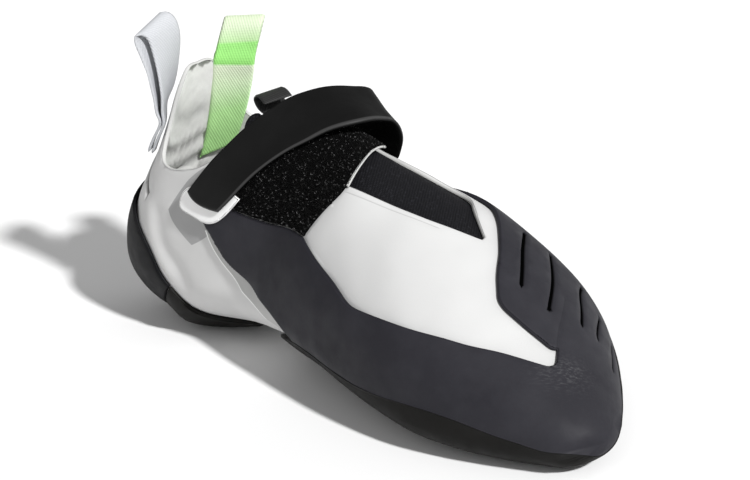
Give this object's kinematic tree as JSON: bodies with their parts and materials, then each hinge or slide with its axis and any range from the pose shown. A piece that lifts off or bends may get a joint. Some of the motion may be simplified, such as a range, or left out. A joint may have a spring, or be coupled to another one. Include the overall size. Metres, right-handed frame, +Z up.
{
  "type": "climbing shoe",
  "caption": "Soft down-turned climbing shoe for the left foot, with a hook-and-loop strap over a stretch tongue, rubber rands and soles, and pull loops at the heel.",
  "frame": {"origin": "middle of the shoe's length and width, on the floor that its heel and forefoot stand on", "axes": "+X towards the toes, +Y towards the little-toe side, +Z up"},
  "size_m": [0.2522, 0.0994, 0.1314],
  "materials": {
    "upper_microfibre": "pale grey and white microfibre, fine grain",
    "stretch_knit": "black stretch knit",
    "inner_sole": "grey brushed fabric",
    "sole_rubber": "matte black climbing rubber",
    "rand_rubber": "matte dark grey rubber",
    "loop_pile": "black loop pile",
    "strap_synthetic": "smooth black synthetic leather",
    "end_tab": "pale smooth synthetic",
    "white_webbing": "white twill webbing",
    "green_webbing": "light green twill webbing",
    "black_webbing": "black webbing"
  },
  "bodies": {
    "root": {"upper": "upper_microfibre", "tongue": "stretch_knit", "insole": "inner_sole", "outsole": "sole_rubber", "heel_sole": "sole_rubber", "toe_rand": "rand_rubber", "heel_rand": "rand_rubber", "pile_patch": "loop_pile", "strap_tab": "end_tab", "strap": "strap_synthetic", "inner_heel_loop": "white_webbing", "outer_heel_loop": "green_webbing", "tongue_loop": "black_webbing"}
  },
  "joints": []
}
